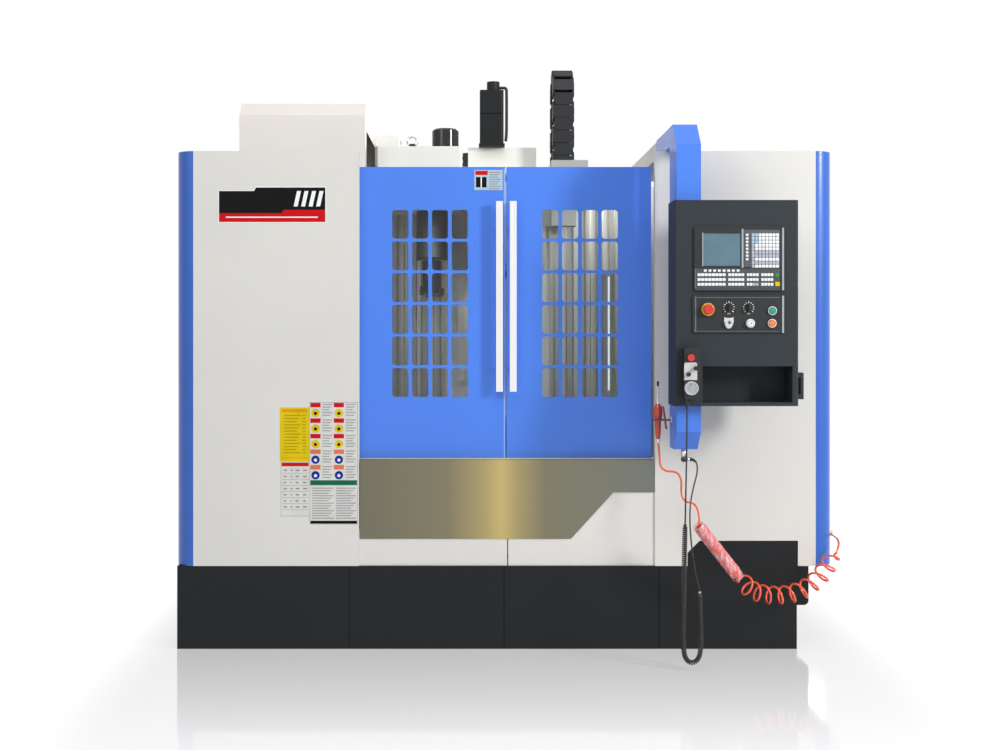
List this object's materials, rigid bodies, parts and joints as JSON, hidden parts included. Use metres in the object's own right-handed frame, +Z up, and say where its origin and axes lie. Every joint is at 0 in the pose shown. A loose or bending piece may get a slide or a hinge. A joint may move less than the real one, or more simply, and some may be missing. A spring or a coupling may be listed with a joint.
{
  "type": "vertical machining centre",
  "caption": "Enclosed vertical machining centre with sliding window-grid doors, swinging control station, tool magazine, handwheel pendant and air gun.",
  "frame": {"origin": "on the floor below the middle of the machine's width and depth, without the free cords", "axes": "+Z up, +X to the right as the operator stands in front, +Y from the operator to the back"},
  "size_m": [2.663, 2.35, 2.5611],
  "materials": {
    "cream_paint": "semi-gloss cream paint",
    "blue_paint": "gloss blue paint",
    "black_paint": "satin black paint",
    "charcoal_paint": "fine textured charcoal paint",
    "cast_paint": "painted casting",
    "brushed_steel": "brushed stainless sheet",
    "machined_steel": "ground steel",
    "aluminium": "satin anodised",
    "window": "clear polycarbonate",
    "screen": "unlit display",
    "panel_plastic": "matte membrane",
    "black_plastic": "moulded plastic",
    "black_rubber": "matte",
    "red_plastic": "moulded plastic",
    "green_plastic": "lens",
    "orange_plastic": "moulded plastic",
    "orange_hose": "polyurethane hose",
    "clear_wrap": "plastic film round the hose",
    "lamp": "lamp tube",
    "brass": "nickelled brass"
  },
  "bodies": {
    "root": {"coolant_tank": "black_paint", "bed_casting": "cast_paint", "column": "cream_paint", "z_motor": "black_paint", "interior_tray": "brushed_steel", "left_front_panel": "cream_paint", "right_front_panel": "cream_paint", "corner_columns": "blue_paint", "left_side_panel": "cream_paint", "right_side_panel": "cream_paint", "apron": "brushed_steel", "lower_panels": "cream_paint", "door_track": "machined_steel", "work_lamp": "lamp", "magazine_cover": "cream_paint", "changer_gearbox": "cream_paint", "changer_motor": "black_paint", "support_beam": "cream_paint", "control_arm": "blue_paint", "air_gun": "orange_plastic", "cord_connector": "black_rubber", "hose_fitting": "brass", "electrical_cabinet": "cream_paint", "air_hose": "orange_hose", "wrapped_coil": "clear_wrap", "recoil_coil": "orange_hose", "curly_cord": "black_rubber", "connector_lead": "black_rubber"},
    "left_door": {"left_door": "blue_paint", "left_window": "window", "left_handle": "aluminium"},
    "right_door": {"right_door": "blue_paint", "right_window": "window", "right_handle": "aluminium"},
    "saddle": {"saddle": "cast_paint"},
    "table": {"table": "machined_steel"},
    "head": {"spindle_head": "cast_paint", "head_cover": "brushed_steel"},
    "spindle": {"spindle": "machined_steel"},
    "cable_chain": {"cable_chain": "black_plastic"},
    "magazine_disc": {"magazine_disc": "cast_paint"},
    "changer_sleeve": {"changer_sleeve": "machined_steel"},
    "changer_arm": {"changer_arm": "machined_steel"},
    "control_box": {"control_box": "charcoal_paint", "cnc_unit": "panel_plastic", "display_screen": "screen", "operator_panel": "panel_plastic", "pendant": "black_plastic", "pendant_lead": "black_rubber"},
    "emergency_stop": {"emergency_stop": "red_plastic"},
    "feed_override": {"feed_override": "black_plastic"},
    "spindle_override": {"spindle_override": "black_plastic"},
    "start_button": {"start_button": "green_plastic"},
    "hold_button": {"hold_button": "orange_plastic"},
    "pendant_stop": {"pendant_stop": "red_plastic"},
    "axis_knob": {"axis_knob": "black_plastic"},
    "step_knob": {"step_knob": "black_plastic"},
    "handwheel": {"handwheel": "aluminium"},
    "gun_lever": {"gun_lever": "red_plastic"},
    "cabinet_door": {"cabinet_door": "cream_paint"}
  },
  "joints": [
    {"name": "left_door_slide", "type": "slide", "parent": "root", "child": "left_door", "axis": [-1, 0, 0], "range_m": [0, 0.52]},
    {"name": "right_door_slide", "type": "slide", "parent": "root", "child": "right_door", "axis": [1, 0, 0], "range_m": [0, 0.52]},
    {"name": "saddle_slide", "type": "slide", "parent": "root", "child": "saddle", "axis": [0, 1, 0], "range_m": [-0.225, 0.225]},
    {"name": "table_slide", "type": "slide", "parent": "saddle", "child": "table", "axis": [1, 0, 0], "range_m": [-0.4, 0.4]},
    {"name": "head_slide", "type": "slide", "parent": "root", "child": "head", "axis": [0, 0, -1], "range_m": [0, 0.5]},
    {"name": "chain_slide", "type": "slide", "parent": "root", "child": "cable_chain", "axis": [0, 0, -1], "range_m": [0, 0.25]},
    {"name": "spindle_turn", "type": "hinge", "parent": "head", "child": "spindle", "pos_m": [0, -0.015, 1.54], "axis": [0, 0, 1], "continuous": true},
    {"name": "magazine_turn", "type": "hinge", "parent": "root", "child": "magazine_disc", "pos_m": [-0.9, 0.167, 1.925], "axis": [1, 0, 0], "continuous": true},
    {"name": "arm_lift", "type": "slide", "parent": "root", "child": "changer_sleeve", "axis": [0, 0, -1], "range_m": [0, 0.11]},
    {"name": "arm_swing", "type": "hinge", "parent": "changer_sleeve", "child": "changer_arm", "pos_m": [-0.314, 0.076, 1.455], "axis": [0, 0, -1], "range_deg": [-253.8, 0]},
    {"name": "station_swing", "type": "hinge", "parent": "root", "child": "control_box", "pos_m": [0.675, -1, 1.377], "axis": [0, 0, -1], "range_deg": [0, 90]},
    {"name": "emergency_stop_press", "type": "slide", "parent": "control_box", "child": "emergency_stop", "axis": [0, 1, 0], "range_m": [0, 0.005]},
    {"name": "feed_override_turn", "type": "hinge", "parent": "control_box", "child": "feed_override", "pos_m": [0.83, -1.1, 1.36], "axis": [0, 1, 0], "range_deg": [-135, 135]},
    {"name": "spindle_override_turn", "type": "hinge", "parent": "control_box", "child": "spindle_override", "pos_m": [0.904, -1.1, 1.36], "axis": [0, 1, 0], "range_deg": [-120, 120]},
    {"name": "start_press", "type": "slide", "parent": "control_box", "child": "start_button", "axis": [0, 1, 0], "range_m": [0, 0.004], "stiffness_N_per_m": 600, "springref_m": -0.001},
    {"name": "hold_press", "type": "slide", "parent": "control_box", "child": "hold_button", "axis": [0, 1, 0], "range_m": [0, 0.004], "stiffness_N_per_m": 600, "springref_m": -0.001},
    {"name": "pendant_stop_press", "type": "slide", "parent": "control_box", "child": "pendant_stop", "axis": [0, 1, 0], "range_m": [0, 0.004]},
    {"name": "axis_knob_turn", "type": "hinge", "parent": "control_box", "child": "axis_knob", "pos_m": [0.695, -1.157, 1.134], "axis": [0, 1, 0], "range_deg": [-75, 75]},
    {"name": "step_knob_turn", "type": "hinge", "parent": "control_box", "child": "step_knob", "pos_m": [0.668, -1.157, 1.112], "axis": [0, 1, 0], "range_deg": [-60, 60]},
    {"name": "handwheel_turn", "type": "hinge", "parent": "control_box", "child": "handwheel", "pos_m": [0.679, -1.157, 1.061], "axis": [0, 1, 0], "continuous": true},
    {"name": "gun_lever_press", "type": "hinge", "parent": "root", "child": "gun_lever", "pos_m": [0.6114, -0.925, 0.978], "axis": [0, 1, 0], "range_deg": [0, 7], "stiffness_Nm_per_rad": 1.2, "springref_deg": -5.73},
    {"name": "cabinet_door_swing", "type": "hinge", "parent": "root", "child": "cabinet_door", "pos_m": [-0.556, 1.175, 1.21], "axis": [0, 0, 1], "range_deg": [0, 120]}
  ],
  "couplings": [
    {"joint": "chain_slide", "follows": "head_slide", "ratio": 0.5}
  ]
}
